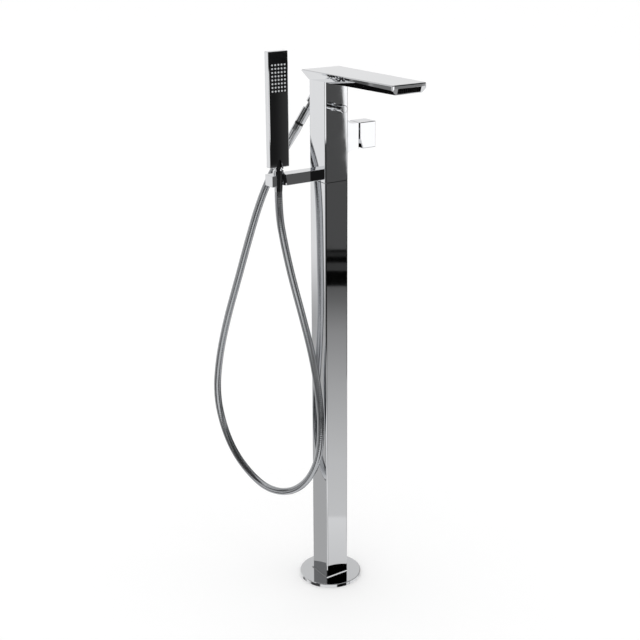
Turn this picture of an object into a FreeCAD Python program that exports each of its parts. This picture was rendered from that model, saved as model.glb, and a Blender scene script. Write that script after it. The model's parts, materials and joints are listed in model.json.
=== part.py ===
import FreeCAD, Part
import math
import os
import re
import Sketcher

# Floor standing bath filler: a square column on a round foot carries a mixer
# with a flat spout to the front (-Y), a side lever (+X), a pull diverter under
# the spout, a fork arm with a stick hand shower (-X) and a hose outlet behind.
# Millimetres; the origin is the centre of the foot on the floor, +Z is up.

SIZES = [
    # name, value, what it is
    ("column_side", 50.0, "side of the square column and of the mixer body"),
    ("column_wall", 2.0, "wall of the column tube"),
    ("column_edge", 2.5, "outer edge radius of the column and the body"),
    ("joint_height", 815.0, "height of the joint between column and body"),
    ("joint_gap", 0.3, "thickness of the seal in that joint"),
    ("joint_bevel", 0.4, "bevel of the column's and the body's edges at that joint"),
    ("seal_inset", 1.0, "how far that seal lies inside the column's faces"),
    ("slip_gap", 0.2, "clearance of square parts that slide into each other"),
    ("fit_gap", 0.05, "radial clearance of turned parts that fit each other"),
    ("foot_diameter", 122.0, "outer diameter of the round foot cover"),
    ("foot_height", 7.0, "height of the foot cover"),
    ("foot_skin", 1.2, "sheet thickness of the foot cover"),
    ("foot_edge", 1.0, "edge radius of the foot cover"),
    ("foot_rim", 1.8, "width of the foot cover's rim round the column"),
    ("foot_rim_height", 1.6, "height of that rim"),
    ("foot_rim_bevel", 1.4, "bevel of that rim"),
    ("flange_diameter", 112.0, "diameter of the floor flange"),
    ("flange_thickness", 3.0, "thickness of the floor flange"),
    ("bolt_circle", 92.0, "pitch circle of the floor bolts"),
    ("bolt_hole", 8.5, "diameter of the floor bolt holes"),
    ("socket_height", 40.0, "height of the square socket that the column stands over"),
    ("socket_wall", 2.0, "wall of that socket"),
    ("spigot_length", 30.0, "length of the body's spigot inside the column"),
    ("grub_radius", 2.5, "radius of the column's grub screws"),
    ("grub_offset", 12.0, "distance of a grub screw from the column's centre plane"),
    ("grub_drop", 15.0, "distance of a grub screw from the joint or the flange"),
    ("inlet_spacing", 20.8, "distance between the hot and the cold inlet"),
    ("inlet_thread", 7.5, "core radius of the inlet threads"),
    ("inlet_depth", 14.0, "depth of the inlet threads"),
    ("inlet_radius", 9.4, "outer radius of the inlet sockets"),
    ("inlet_collar", 10.0, "radius of the collar that rests on the flange"),
    ("inlet_length", 22.0, "length of the inlet sockets"),
    ("riser_radius", 6.0, "outer radius of the supply pipes"),
    ("riser_wall", 1.0, "wall of the supply pipes"),
    ("riser_entry", 15.0, "depth of the supply pipes in the body"),
    ("spacer_height", 400.0, "height of the spacer between the supply pipes"),
    ("spacer_thickness", 12.0, "thickness of that spacer"),
    ("gallery", 4.0, "radius of the water galleries in the body"),
    ("port", 2.5, "radius of the cartridge's ports"),
    ("port_circle", 8.0, "distance of the cartridge's ports from its axis"),
    ("body_height", 179.0, "height of the body above the joint, up to the spout"),
    ("lever_rise", 75.5, "height of the lever's axis above the joint"),
    ("boss_height", 48.0, "height of the side boss and of the handle"),
    ("boss_depth", 33.0, "depth of the side boss and of the handle, front to back"),
    ("boss_reach", 55.0, "distance of the boss's face from the column's axis"),
    ("boss_fillet", 17.0, "fillet between the boss and the body"),
    ("cartridge_radius", 12.5, "radius of the cartridge"),
    ("cartridge_floor", 15.0, "distance of the cartridge's seat from the column's axis"),
    ("cartridge_length", 27.8, "length of the cartridge"),
    ("port_seal", 1.2, "height of the cartridge's port seals"),
    ("carrier_radius", 8.92, "radius of the turning carrier in the cartridge"),
    ("carrier_recess", 9.0, "radius of the recess that it turns in"),
    ("carrier_length", 6.5, "length of the carrier"),
    ("pivot_reach", 40.0, "distance of the lever's tilt pivot from the column's axis"),
    ("pivot_radius", 1.0, "radius of the tilt pivot pin"),
    ("nut_length", 7.0, "length of the cartridge's retaining nut"),
    ("stem_side", 6.0, "side of the lever's square stem"),
    ("stem_grip", 18.0, "depth of the stem in the handle"),
    ("handle_gap", 3.0, "gap between the boss and the handle"),
    ("handle_length", 34.5, "length of the handle"),
    ("handle_edge", 1.2, "edge radius of the handle"),
    ("handle_relief", 6.0, "how far the handle's lower inner edge is cut back"),
    ("handle_relief_height", 18.0, "height of that relief"),
    ("handle_grub", 2.0, "radius of the handle's grub screw"),
    ("diverter_rise", 57.5, "height of the diverter's axis above the lever's"),
    ("diverter_bore", 8.0, "radius of the diverter's bore in the body"),
    ("diverter_seat", 13.0, "distance of the diverter's seat behind the column's axis"),
    ("diverter_sleeve", 12.0, "length of the diverter's sleeve"),
    ("spindle_radius", 3.5, "radius of the diverter's spindle"),
    ("knob_radius", 7.25, "radius of the diverter's knob"),
    ("knob_neck", 5.0, "radius of the knob's neck"),
    ("knob_neck_length", 7.5, "length of the knob's neck"),
    ("knob_length", 23.0, "how far the knob stands out"),
    ("outlet_rise", 18.0, "height of the hose outlet above the diverter"),
    ("outlet_reach", 40.0, "distance of the hose elbow behind the column's axis"),
    ("outlet_lean", 30.1, "angle of the elbow's leg from the vertical"),
    ("outlet_swing", 27.0, "direction of that lean, from the left towards the back"),
    ("elbow_radius", 9.0, "radius of the elbow"),
    ("elbow_flat", 5.0, "distance of the elbow's flat from its centre"),
    ("elbow_leg", 20.0, "length of the elbow's leg"),
    ("nipple_radius", 5.0, "radius of the elbow's nipple"),
    ("nipple_length", 11.0, "free length of that nipple"),
    ("valve_radius", 8.6, "radius of the non-return valve's housing"),
    ("valve_length", 29.0, "length of that housing"),
    ("collar_length", 4.5, "length of the black washer between housing and hose nut"),
    ("hose_nut_length", 44.5, "length of the hose's nut at the outlet"),
    ("hose_diameter", 14.0, "outer diameter of the hose"),
    ("arm_height", 20.0, "height of the holder's arm"),
    ("arm_depth", 25.0, "depth of the holder's arm"),
    ("arm_reach", 120.3, "distance of the arm's end from the column's axis"),
    ("arm_edge", 0.8, "edge radius of the arm"),
    ("arm_stud", 4.0, "radius of the stud that fixes the arm"),
    ("arm_pin", 1.5, "radius of the pin that keeps the arm from turning"),
    ("holder_reach", 101.0, "distance of the hand shower's axis from the column's axis"),
    ("holder_depth", 12.0, "distance of that axis behind the column's axis"),
    ("fork_mouth", 20.8, "width of the fork at its mouth"),
    ("fork_throat", 15.0, "width of the fork at its throat"),
    ("fork_throat_depth", 7.0, "depth of the throat behind the arm's front"),
    ("seat_gap", 0.2, "radial clearance of the cone nut in the fork"),
    ("cone_drop", 11.0, "how far the cone nut hangs below the arm"),
    ("cone_height", 37.5, "height of the cone nut"),
    ("cone_small", 7.3, "lower radius of the cone nut"),
    ("cone_large", 9.7, "upper radius of the cone nut"),
    ("swivel_radius", 6.4, "radius of the hand shower's stem in the nut"),
    ("stick_gap", 6.5, "gap between the cone nut and the hand shower"),
    ("stick_length", 202.0, "length of the hand shower"),
    ("stick_width", 40.0, "width of the hand shower"),
    ("stick_depth", 13.0, "depth of the hand shower"),
    ("stick_edge", 1.2, "edge radius of the hand shower"),
    ("stick_boss", 9.6, "radius of the round boss at the hand shower's end"),
    ("stick_boss_height", 16.0, "height over which that boss dies into the stick"),
    ("stick_bore", 5.0, "radius of the stem's thread in the hand shower"),
    ("spray_width", 37.0, "width of the spray plate"),
    ("spray_height", 69.0, "height of the spray plate"),
    ("spray_margin", 1.4, "distance of the spray plate from the stick's top"),
    ("spray_thickness", 2.0, "thickness of the spray plate"),
    ("mat_thickness", 1.5, "thickness of the nozzle mat behind the spray plate"),
    ("nozzle_pitch", 6.4, "pitch of the nozzles"),
    ("nozzle_radius", 1.6, "radius of a nozzle"),
    ("nozzle_proud", 0.8, "how far a nozzle stands out of the plate"),
    ("nozzle_top", 23.0, "distance of the first row from the stick's top"),
    ("spout_height", 19.0, "height of the spout above the body"),
    ("spout_side", 2.5, "height of the spout's upright side at the back"),
    ("spout_corner", 4.0, "radius of the spout's two front corners"),
    ("spout_edge", 1.8, "radius of the spout's upper edges"),
    ("spout_reach", 232.0, "distance of the spout's front from the column's axis"),
    ("spout_back_width", 81.2, "width of the spout at the back"),
    ("spout_front_width", 69.8, "width of the spout at the front"),
    ("spout_rise", 2.5, "how much the spout's underside rises to the front"),
    ("spout_lip", 5.8, "height of the spout's front lip"),
    ("spout_nose", 3.0, "how far the underside is cut back below that lip"),
    ("spout_plate", 4.0, "thickness of the spout's top plate"),
    ("duct_rise", 3.8, "height of the duct's floor above the body"),
    ("duct_width", 45.0, "width of that duct"),
    ("slot_width", 48.0, "width of the spout's mouth"),
    ("slot_height", 9.2, "height of the spout's mouth"),
    ("slot_wall", 10.0, "length of the mouth, front to back"),
    ("grid_recess", 0.4, "how far the flow grid lies inside the mouth"),
    ("grid_depth", 4.5, "depth of the flow grid"),
    ("feed_offset", 8.0, "distance of the spout's feed in front of the column's axis"),
    ("spout_screw", 2.0, "radius of the screws that hold the spout"),
    ("spout_screw_offset", 15.0, "distance of those screws from the centre plane"),
]
NOZZLE_COLUMNS = 5
NOZZLE_ROWS = 8
GRID_CELLS = 11
BOLT_COUNT = 4

# Heights that follow from the sizes.
HEIGHTS = {
    "body_top": "joint_height + body_height",
    "spout_top": "body_top + spout_height",
    "duct_floor": "body_top + duct_rise",
    "lever_height": "joint_height + lever_rise",
    "diverter_height": "lever_height + diverter_rise",
    "outlet_height": "diverter_height + outlet_rise",
    "cone_bottom": "joint_height - cone_drop",
    "stick_bottom": "cone_bottom + cone_height + stick_gap",
}

# Route of the hose from its nut at the outlet to the cone nut: free points of
# the loop, between the two straight ends that the nuts give.
HOSE_EXIT_RUN = 55.0
HOSE_ENTRY_RUN = 42.0
HOSE_POINTS = [
    (-91.0, 95.0, 766.0),
    (-105.5, 112.5, 695.0),
    (-120.0, 133.0, 612.0),
    (-135.5, 154.5, 527.0),
    (-145.0, 173.5, 443.0),
    (-147.0, 184.5, 366.0),
    (-137.5, 180.5, 297.0),
    (-125.0, 162.0, 241.5),
    (-108.5, 128.0, 200.5),
    (-93.5, 86.0, 179.5),
    (-74.5, 41.0, 183.5),
    (-54.5, 4.5, 213.0),
    (-39.5, -17.0, 264.0),
    (-33.0, -20.5, 330.5),
    (-34.0, -13.0, 407.5),
    (-43.0, -3.5, 488.0),
    (-59.0, 5.0, 566.0),
    (-77.0, 9.5, 639.5),
    (-91.5, 11.0, 705.5),
]
HOSE_BEND_SHARE = 0.45

ROUND_X = (FreeCAD.Vector(0, 1, 0), 90.0)
ROUND_FRONT = (FreeCAD.Vector(1, 0, 0), 90.0)

doc = FreeCAD.newDocument("bath_filler")
sheet = doc.addObject("Spreadsheet::Sheet", "Sizes")
for row, (name, value, meaning) in enumerate(SIZES, start=1):
    sheet.set("A%d" % row, name)
    sheet.set("B%d" % row, repr(value))
    sheet.set("C%d" % row, meaning)
    sheet.setAlias("B%d" % row, name)
doc.recompute()

parts = []


def formula(text):
    """The expression that reads each named size from the sheet, with the heights written out."""
    def written(match):
        name = match.group(1)
        return "(%s)" % formula(HEIGHTS[name]) if name in HEIGHTS else "Sizes." + name
    return re.sub(r"\b([a-z][a-z_]*)\b(?!\()", written, str(text))


def size(text):
    """The present value of such an expression."""
    value = sheet.evalExpression(formula(text))
    return float(getattr(value, "Value", value))


def new_body(label):
    """A body for one sub-part, kept for the export."""
    body = doc.addObject("PartDesign::Body", label)
    body.Label = label
    parts.append(body)
    return body


def place(piece, across="0", depth="0", height="0", turn=None, angle=None):
    """Move a sub-part; turn is an axis and an angle, angle an expression for it."""
    if turn:
        piece.Placement = FreeCAD.Placement(FreeCAD.Vector(), FreeCAD.Rotation(*turn))
    for axis, text in zip("xyz", (across, depth, height)):
        piece.setExpression("Placement.Base." + axis, formula(text))
    if angle:
        piece.setExpression("Placement.Rotation.Angle", formula(angle))


def new_sketch(body, role, offset="0"):
    """A sketch on one of the body's origin planes, moved along its normal."""
    plane = [feature for feature in body.Origin.OriginFeatures if feature.Role == role][0]
    sketch = body.newObject("Sketcher::SketchObject", body.Label + "_sketch")
    sketch.AttachmentSupport = [(plane, "")]
    sketch.MapMode = "FlatFace"
    sketch.setExpression("AttachmentOffset.Base.z", formula(offset))
    return sketch


def bind(sketch, kind, items, text):
    """Add a constraint whose value is an expression."""
    index = sketch.addConstraint(Sketcher.Constraint(kind, *items, size(text)))
    sketch.setExpression("Constraints[%d]" % index, formula(text))


def pin_point(sketch, line, end, across, up):
    """Hold a point of the sketch at expressions for its two coordinates."""
    bind(sketch, "DistanceX", (-1, 1, line, end), across)
    bind(sketch, "DistanceY", (-1, 1, line, end), up)


def outline(sketch, corners):
    """Close a loop through corners given as expressions.

    A corner is (across, up), reached by a straight side, or (across, up,
    radius, way), reached by an arc that runs anticlockwise (1) or clockwise
    (-1) about its centre.
    """
    points = [FreeCAD.Vector(size(corner[0]), size(corner[1]), 0) for corner in corners]
    sides = []
    for index, corner in enumerate(corners):
        start = points[index - 1]
        end = points[index]
        if len(corner) == 2:
            side = sketch.addGeometry(Part.LineSegment(start, end), False)
            sides.append((side, 1, 2))
            continue
        radius, way = size(corner[2]), corner[3]
        middle = (start + end) * 0.5
        chord = end - start
        height = math.sqrt(max(radius ** 2 - chord.Length ** 2 / 4, 0))
        normal = FreeCAD.Vector(-chord.y, chord.x, 0).normalize()
        centre = middle + normal * height * way
        first, last = (start, end) if way > 0 else (end, start)
        angles = [math.atan2(point.y - centre.y, point.x - centre.x) for point in (first, last)]
        circle = Part.Circle(centre, FreeCAD.Vector(0, 0, 1), radius)
        side = sketch.addGeometry(Part.ArcOfCircle(circle, *angles), False)
        sides.append((side, 1, 2) if way > 0 else (side, 2, 1))
    for index, (side, _, end) in enumerate(sides):
        following, start, _ = sides[(index + 1) % len(sides)]
        sketch.addConstraint(Sketcher.Constraint("Coincident", side, end, following, start))
    for (side, _, end), corner in zip(sides, corners):
        pin_point(sketch, side, end, corner[0], corner[1])
        if len(corner) > 2:
            bind(sketch, "Radius", (side,), corner[2])


def rectangle(sketch, left, right, low, high):
    outline(sketch, [(left, low), (right, low), (right, high), (left, high)])


def square(sketch, side):
    rectangle(sketch, "-(%s) / 2" % side, "(%s) / 2" % side, "-(%s) / 2" % side, "(%s) / 2" % side)


def circle(sketch, across, up, radius):
    place_at = FreeCAD.Vector(size(across), size(up), 0)
    ring = sketch.addGeometry(Part.Circle(place_at, FreeCAD.Vector(0, 0, 1), size(radius)), False)
    pin_point(sketch, ring, 3, across, up)
    bind(sketch, "Radius", (ring,), radius)


def pad(body, sketch, length, both=False, back=False):
    """Grow the sketch by a length, along its normal, against it or both ways."""
    feature = body.newObject("PartDesign::Pad", body.Label + "_pad")
    feature.Profile = sketch
    feature.SideType = "Symmetric" if both else "One side"
    feature.Reversed = back
    feature.setExpression("Length", formula(length))
    doc.recompute()
    return feature


def cut(body, sketch, length, both=False, back=False):
    """Cut the sketch into the body, against its normal; back turns it round."""
    before = body.Shape.Volume
    feature = body.newObject("PartDesign::Pocket", body.Label + "_pocket")
    feature.Profile = sketch
    feature.SideType = "Symmetric" if both else "One side"
    feature.Reversed = back
    feature.setExpression("Length", formula(length))
    doc.recompute()
    if not body.Shape.Volume < before - 1e-3:
        raise ValueError("a cut of %s removes nothing" % body.Label)
    return feature


def bore(body, role, offset, across, up, radius, depth, back=False):
    """Drill a round hole from a plane across one axis."""
    sketch = new_sketch(body, role, offset)
    circle(sketch, across, up, radius)
    return cut(body, sketch, depth, back=back)


def spin(body, corners, sketch=None):
    """Turn a closed profile of (radius, height) corners about the sketch's upright axis."""
    sketch = sketch or new_sketch(body, "XZ_Plane")
    outline(sketch, corners)
    feature = body.newObject("PartDesign::Revolution", body.Label + "_turned")
    feature.Profile = sketch
    feature.ReferenceAxis = (sketch, ["V_Axis"])
    feature.Angle = 360.0
    doc.recompute()
    return feature


def hollow(body, corners):
    """Cut a turned profile out of the body."""
    before = body.Shape.Volume
    sketch = new_sketch(body, "XZ_Plane")
    outline(sketch, corners)
    feature = body.newObject("PartDesign::Groove", body.Label + "_hollow")
    feature.Profile = sketch
    feature.ReferenceAxis = (sketch, ["V_Axis"])
    feature.Angle = 360.0
    doc.recompute()
    if not body.Shape.Volume < before - 1e-3:
        raise ValueError("a hollow of %s removes nothing" % body.Label)
    return feature


def tube_profile(inner, outer, low, high):
    return [(inner, low), (outer, low), (outer, high), (inner, high)]


def soften(body, kind, amount, wanted):
    """Fillet or chamfer the edges of the body that wanted picks."""
    names = ["Edge%d" % number for number, edge in enumerate(body.Shape.Edges, start=1) if wanted(edge)]
    before = body.Tip
    feature = body.newObject("PartDesign::" + kind, body.Label + "_edges")
    feature.Base = (before, names)
    feature.setExpression("Radius" if kind == "Fillet" else "Size", formula(amount))
    doc.recompute()
    return feature


def along(edge, axis):
    """Whether a straight edge runs along an axis, 0 to 2."""
    if not isinstance(edge.Curve, Part.Line):
        return False
    return abs(abs(edge.tangentAt(edge.FirstParameter)[axis]) - 1) < 1e-6


def middle(edge):
    return edge.BoundBox.Center


def near(value, text):
    return abs(value - size(text)) < 1e-3


# ---------------------------------------------------------------- foot

inner_side = "column_side - 2 * column_wall"
socket_side = "column_side - 2 * column_wall - 2 * slip_gap"

floor_flange = new_body("floor_flange")
sketch = new_sketch(floor_flange, "XY_Plane")
circle(sketch, "0", "0", "flange_diameter / 2")
pad(floor_flange, sketch, "flange_thickness")
sketch = new_sketch(floor_flange, "XY_Plane", "flange_thickness")
square(sketch, socket_side)
pad(floor_flange, sketch, "socket_height")
sketch = new_sketch(floor_flange, "XY_Plane", "flange_thickness + socket_height")
square(sketch, socket_side + " - 2 * socket_wall")
cut(floor_flange, sketch, "socket_height")
for side in ("-", "+"):
    bore(floor_flange, "XY_Plane", "flange_thickness", "%sinlet_spacing / 2" % side, "0",
         "inlet_radius + fit_gap", "flange_thickness")
bolt_hole = bore(floor_flange, "XY_Plane", "flange_thickness", "bolt_circle / 2", "0",
                 "bolt_hole / 2", "flange_thickness")
bolts = floor_flange.newObject("PartDesign::PolarPattern", "floor_flange_bolt_holes")
bolts.Originals = [bolt_hole]
bolts.Axis = (bolt_hole.Profile[0], ["N_Axis"])
bolts.Angle = 360.0
bolts.Occurrences = BOLT_COUNT
floor_flange.Tip = bolts
doc.recompute()

foot_cover = new_body("foot_cover")
spin(foot_cover, [
    ("0", "foot_height - foot_skin"),
    ("foot_diameter / 2 - foot_skin", "foot_height - foot_skin"),
    ("foot_diameter / 2 - foot_skin", "0"),
    ("foot_diameter / 2", "0"),
    ("foot_diameter / 2", "foot_height - foot_edge"),
    ("foot_diameter / 2 - foot_edge", "foot_height", "foot_edge", 1),
    ("0", "foot_height"),
])
sketch = new_sketch(foot_cover, "XY_Plane", "foot_height - foot_skin")
square(sketch, "column_side + 2 * slip_gap + 2 * foot_rim")
pad(foot_cover, sketch, "foot_skin + foot_rim_height")
soften(foot_cover, "Chamfer", "foot_rim_bevel",
       lambda edge: near(edge.BoundBox.ZMin, "foot_height + foot_rim_height"))
sketch = new_sketch(foot_cover, "XY_Plane", "foot_height + foot_rim_height")
square(sketch, "column_side + 2 * slip_gap")
cut(foot_cover, sketch, "foot_height + foot_rim_height")

# ---------------------------------------------------------------- column

column_tube = new_body("column_tube")
sketch = new_sketch(column_tube, "XY_Plane", "flange_thickness")
square(sketch, "column_side")
pad(column_tube, sketch, "joint_height - joint_gap - flange_thickness")
soften(column_tube, "Fillet", "column_edge", lambda edge: along(edge, 2))
soften(column_tube, "Chamfer", "joint_bevel",
       lambda edge: near(edge.BoundBox.ZMin, "joint_height - joint_gap"))
sketch = new_sketch(column_tube, "XY_Plane", "joint_height")
square(sketch, inner_side)
cut(column_tube, sketch, "joint_height")
for height in ("joint_height - grub_drop", "flange_thickness + grub_drop"):
    for side in ("-", "+"):
        bore(column_tube, "XZ_Plane", "-column_side / 2", side + "grub_offset", height,
             "grub_radius + fit_gap", "column_wall", back=True)

joint_seal = new_body("joint_seal")
sketch = new_sketch(joint_seal, "XY_Plane", "joint_height - joint_gap")
square(sketch, "column_side - 2 * seal_inset")
square(sketch, inner_side)
pad(joint_seal, sketch, "joint_gap")


def grub_screws(label, height):
    """Two grub screws at the back that clamp the column on its square insert."""
    screws = []
    for side in ("-", "+"):
        screw = doc.addObject("Part::Cylinder", label + "_screw")
        screw.setExpression("Radius", formula("grub_radius"))
        screw.setExpression("Height", formula("column_wall"))
        place(screw, side + "grub_offset", "column_side / 2 - slip_gap", height, ROUND_FRONT)
        screws.append(screw)
    group = doc.addObject("Part::Compound", label)
    group.Links = screws
    group.Label = label
    parts.append(group)


grub_screws("foot_grub_screws", "flange_thickness + grub_drop")
grub_screws("head_grub_screws", "joint_height - grub_drop")

# ---------------------------------------------------------------- supply

for label, side in (("hot", "-"), ("cold", "+")):
    inlet = new_body(label + "_inlet")
    spin(inlet, [
        ("inlet_thread", "0"),
        ("inlet_radius", "0"),
        ("inlet_radius", "flange_thickness"),
        ("inlet_collar", "flange_thickness"),
        ("inlet_collar", "2 * flange_thickness"),
        ("inlet_radius", "2 * flange_thickness"),
        ("inlet_radius", "inlet_length"),
        ("riser_radius + fit_gap", "inlet_length"),
        ("riser_radius + fit_gap", "inlet_depth"),
        ("inlet_thread", "inlet_depth"),
    ])
    place(inlet, side + "inlet_spacing / 2")
    riser = new_body(label + "_riser")
    spin(riser, tube_profile(
        "riser_radius - riser_wall", "riser_radius", "inlet_depth",
        "joint_height - spigot_length + riser_entry"))
    place(riser, side + "inlet_spacing / 2")

riser_spacer = new_body("riser_spacer")
sketch = new_sketch(riser_spacer, "XY_Plane", "spacer_height")
square(sketch, inner_side + " - 2 * slip_gap")
for side in ("-", "+"):
    circle(sketch, side + "inlet_spacing / 2", "0", "riser_radius + fit_gap")
pad(riser_spacer, sketch, "spacer_thickness")

# ---------------------------------------------------------------- mixer body

spigot_foot = "joint_height - spigot_length"

mixer_body = new_body("mixer_body")
sketch = new_sketch(mixer_body, "XY_Plane", "joint_height")
square(sketch, "column_side")
pad(mixer_body, sketch, "body_top - joint_height")
soften(mixer_body, "Fillet", "column_edge", lambda edge: along(edge, 2))
soften(mixer_body, "Chamfer", "joint_bevel", lambda edge: near(edge.BoundBox.ZMax, "joint_height"))
sketch = new_sketch(mixer_body, "XZ_Plane")
boss_low = "lever_height - boss_height / 2"
boss_high = "lever_height + boss_height / 2"
outline(sketch, [
    ("0", boss_low + " - boss_fillet"),
    ("column_side / 2", boss_low + " - boss_fillet"),
    ("column_side / 2 + boss_fillet", boss_low, "boss_fillet", -1),
    ("boss_reach", boss_low),
    ("boss_reach", boss_high),
    ("column_side / 2 + boss_fillet", boss_high),
    ("column_side / 2", boss_high + " + boss_fillet", "boss_fillet", -1),
    ("0", boss_high + " + boss_fillet"),
])
pad(mixer_body, sketch, "boss_depth", both=True)
soften(mixer_body, "Fillet", "handle_edge",
       lambda edge: middle(edge).x > size("boss_reach") - 1e-3)
sketch = new_sketch(mixer_body, "XY_Plane", spigot_foot)
square(sketch, socket_side)
pad(mixer_body, sketch, "spigot_length")

# Inlets, and the galleries that lead to the cartridge's seat.
for side, rise in (("-", "port_circle + port / 2 + gallery / 4"), ("+", "-gallery - 0.5")):
    bore(mixer_body, "XY_Plane", spigot_foot, side + "inlet_spacing / 2", "0",
         "riser_radius + fit_gap", "riser_entry", back=True)
    bore(mixer_body, "XY_Plane", spigot_foot, side + "inlet_spacing / 2", "0", "gallery",
         "lever_height + %s - joint_height + spigot_length" % rise, back=True)
bore(mixer_body, "YZ_Plane", "boss_reach", "0", "lever_height", "cartridge_radius + fit_gap",
     "boss_reach - cartridge_floor")
bore(mixer_body, "YZ_Plane", "cartridge_floor", "0", "lever_height - port_circle", "port",
     "cartridge_floor - inlet_spacing / 2")
bore(mixer_body, "YZ_Plane", "cartridge_floor", "0", "lever_height + port_circle", "port",
     "cartridge_floor + inlet_spacing / 2")
bore(mixer_body, "YZ_Plane", "cartridge_floor", "port_circle", "lever_height", "port",
     "cartridge_floor")

# Mixed water rises to the diverter, and leaves it to the spout or to the back.
bore(mixer_body, "XY_Plane", "lever_height - port", "0", "port_circle", "gallery",
     "diverter_height - lever_height + port", back=True)
bore(mixer_body, "XZ_Plane", "column_side / 2", "0", "diverter_height", "diverter_bore",
     "column_side / 2 + diverter_seat")
bore(mixer_body, "XZ_Plane", "-diverter_seat", "0", "diverter_height", "gallery",
     "gallery + 1")
bore(mixer_body, "XY_Plane", "diverter_height", "0", "diverter_seat + gallery", "gallery - 0.5",
     "outlet_height - diverter_height", back=True)
bore(mixer_body, "XZ_Plane", "-column_side / 2", "0", "outlet_height", "riser_radius + fit_gap",
     "column_side / 2 - diverter_seat", back=True)
bore(mixer_body, "XY_Plane", "diverter_height", "0", "-feed_offset", "gallery",
     "body_top - diverter_height", back=True)

# Blind holes for the spout's screws and for the arm's stud and pin.
for side in ("-", "+"):
    bore(mixer_body, "XY_Plane", "body_top", side + "spout_screw_offset", "holder_depth",
         "spout_screw + fit_gap", "12")
arm_axis = "joint_height + arm_height / 2"
bore(mixer_body, "YZ_Plane", "-column_side / 2", "arm_depth / 2", arm_axis,
     "arm_stud + fit_gap", "10", back=True)
bore(mixer_body, "YZ_Plane", "-column_side / 2", "arm_depth - 2 * arm_stud + 2 * arm_pin", arm_axis,
     "arm_pin + fit_gap", "6", back=True)

# ---------------------------------------------------------------- spout


def trim_spout(body):
    """Cut the sloping flanks, underside and nose that both spout pieces share."""
    for side in ("-", ""):
        sketch = new_sketch(body, "XZ_Plane")
        outline(sketch, [
            (side + "column_side / 2", "body_top"),
            (side + "spout_back_width / 2", "spout_top - spout_side"),
            (side + "spout_back_width", "spout_top - spout_side"),
            (side + "spout_back_width", "body_top - 10"),
            (side + "column_side / 2", "body_top - 10"),
        ])
        cut(body, sketch, "4 * spout_reach", both=True)


def front_corner(edge):
    """Whether an edge is one of the spout's two upright front corners."""
    return along(edge, 2) and near(middle(edge).y, "-spout_reach")


plan = [
    ("-spout_back_width / 2", "column_side / 2"),
    ("-spout_front_width / 2", "-spout_reach"),
    ("spout_front_width / 2", "-spout_reach"),
    ("spout_back_width / 2", "column_side / 2"),
]

spout_tray = new_body("spout_tray")
sketch = new_sketch(spout_tray, "XY_Plane", "body_top")
outline(sketch, plan)
pad(spout_tray, sketch, "spout_top - spout_plate - body_top")
soften(spout_tray, "Fillet", "spout_corner", front_corner)
trim_spout(spout_tray)
sketch = new_sketch(spout_tray, "YZ_Plane")
outline(sketch, [
    ("-column_side / 2", "body_top"),
    ("-spout_reach + spout_nose", "body_top + spout_rise"),
    ("-spout_reach", "spout_top - spout_lip"),
    ("-spout_reach - 10", "spout_top - spout_lip"),
    ("-spout_reach - 10", "body_top - 10"),
    ("-column_side / 2", "body_top - 10"),
])
cut(spout_tray, sketch, "2 * spout_back_width", both=True)
sketch = new_sketch(spout_tray, "XY_Plane", "spout_top")
rectangle(sketch, "-duct_width / 2", "duct_width / 2", "-spout_reach + slot_wall", "0")
cut(spout_tray, sketch, "spout_top - duct_floor")
sketch = new_sketch(spout_tray, "XZ_Plane", "spout_reach")
rectangle(sketch, "-slot_width / 2", "slot_width / 2", "duct_floor", "duct_floor + slot_height")
cut(spout_tray, sketch, "slot_wall + 1")
bore(spout_tray, "XY_Plane", "duct_floor", "0", "-feed_offset", "gallery", "duct_floor - body_top")
for side in ("-", "+"):
    bore(spout_tray, "XY_Plane", "spout_top", side + "spout_screw_offset", "holder_depth",
         "spout_screw + fit_gap", "spout_top - body_top")
    bore(spout_tray, "XY_Plane", "spout_top", side + "spout_screw_offset", "holder_depth",
         "2 * spout_screw", "spout_top - duct_floor")

spout_top_plate = new_body("spout_top_plate")
sketch = new_sketch(spout_top_plate, "XY_Plane", "spout_top - spout_plate")
outline(sketch, plan)
pad(spout_top_plate, sketch, "spout_plate")
soften(spout_top_plate, "Fillet", "spout_corner", front_corner)
trim_spout(spout_top_plate)
soften(spout_top_plate, "Fillet", "spout_edge", lambda edge: near(edge.BoundBox.ZMin, "spout_top"))

flow_grid = new_body("flow_grid")
grid_front = "spout_reach - spout_nose - grid_recess"
sketch = new_sketch(flow_grid, "XZ_Plane", grid_front)
rectangle(sketch, "-slot_width / 2 + fit_gap", "slot_width / 2 - fit_gap",
          "duct_floor + fit_gap", "duct_floor + slot_height - fit_gap")
pad(flow_grid, sketch, "grid_depth", back=True)
sketch = new_sketch(flow_grid, "XZ_Plane", grid_front)
for cell in range(GRID_CELLS):
    centre = "slot_width / %d * %s" % (GRID_CELLS, cell - (GRID_CELLS - 1) / 2)
    half = "slot_width / %d / 2 - 0.5" % GRID_CELLS
    rectangle(sketch, "%s - (%s)" % (centre, half), "%s + %s" % (centre, half),
              "duct_floor + 1", "duct_floor + slot_height - 1")
cut(flow_grid, sketch, "grid_depth")

screws = []
for side in ("-", "+"):
    screw = doc.addObject("Part::Cylinder", "spout_screw_shank")
    screw.setExpression("Radius", formula("spout_screw"))
    screw.setExpression("Height", formula("duct_floor - body_top + 10"))
    place(screw, side + "spout_screw_offset", "holder_depth", "body_top - 10")
    head = doc.addObject("Part::Cylinder", "spout_screw_head")
    head.setExpression("Radius", formula("2 * spout_screw - 0.3"))
    head.setExpression("Height", formula("2 * spout_screw"))
    place(head, side + "spout_screw_offset", "holder_depth", "duct_floor")
    whole = doc.addObject("Part::Fuse", "spout_screw_whole")
    whole.Base = screw
    whole.Tool = head
    screws.append(whole)
spout_screws = doc.addObject("Part::Compound", "spout_screws")
spout_screws.Links = screws
spout_screws.Label = "spout_screws"
parts.append(spout_screws)

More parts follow.
